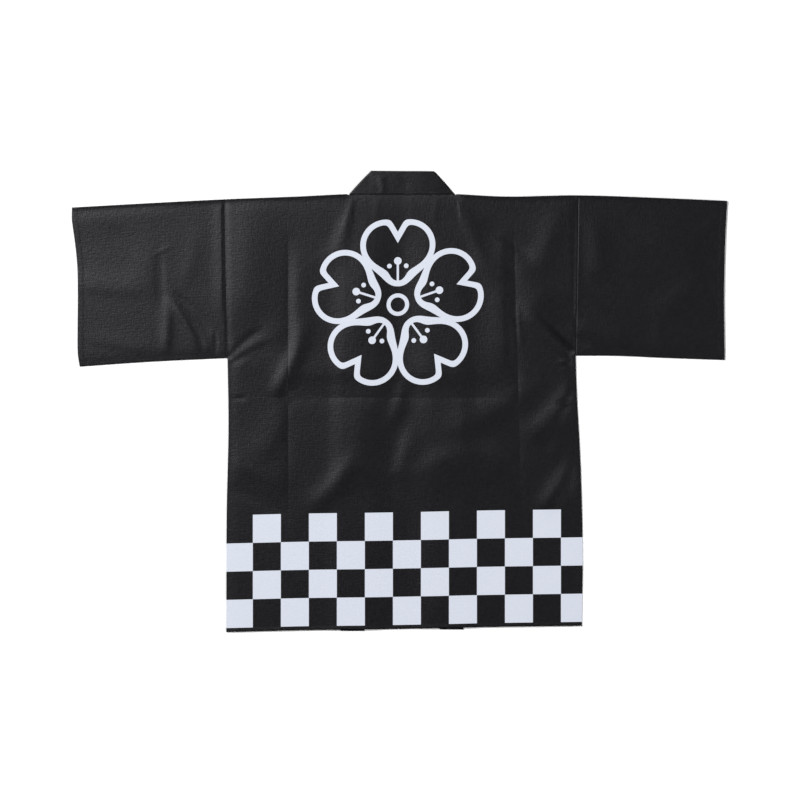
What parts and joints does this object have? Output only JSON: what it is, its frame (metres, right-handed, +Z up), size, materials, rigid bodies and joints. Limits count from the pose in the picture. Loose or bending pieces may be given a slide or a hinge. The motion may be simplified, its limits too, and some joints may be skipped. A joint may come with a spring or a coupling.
{
  "type": "happi coat",
  "caption": "Short open-fronted coat with straight wide sleeves and a folded band collar, laid flat with its back up, with checks printed round the hem.",
  "frame": {"origin": "on the surface that the coat lies on, under the middle of the whole coat", "axes": "+X along the sleeves towards the wearer's right cuff, +Y from hem to collar, +Z up out of the surface, through the back"},
  "size_m": [1.169, 0.8235, 0.0074],
  "materials": {
    "printed_cloth": "close plain weave, black, with white printed figures, faint sheen",
    "black_cloth": "close plain weave, black, faint sheen"
  },
  "bodies": {
    "root": {"back": "printed_cloth", "front_left": "printed_cloth", "front_right": "printed_cloth", "sleeve_left": "black_cloth", "sleeve_right": "black_cloth", "collar": "black_cloth"}
  },
  "joints": []
}
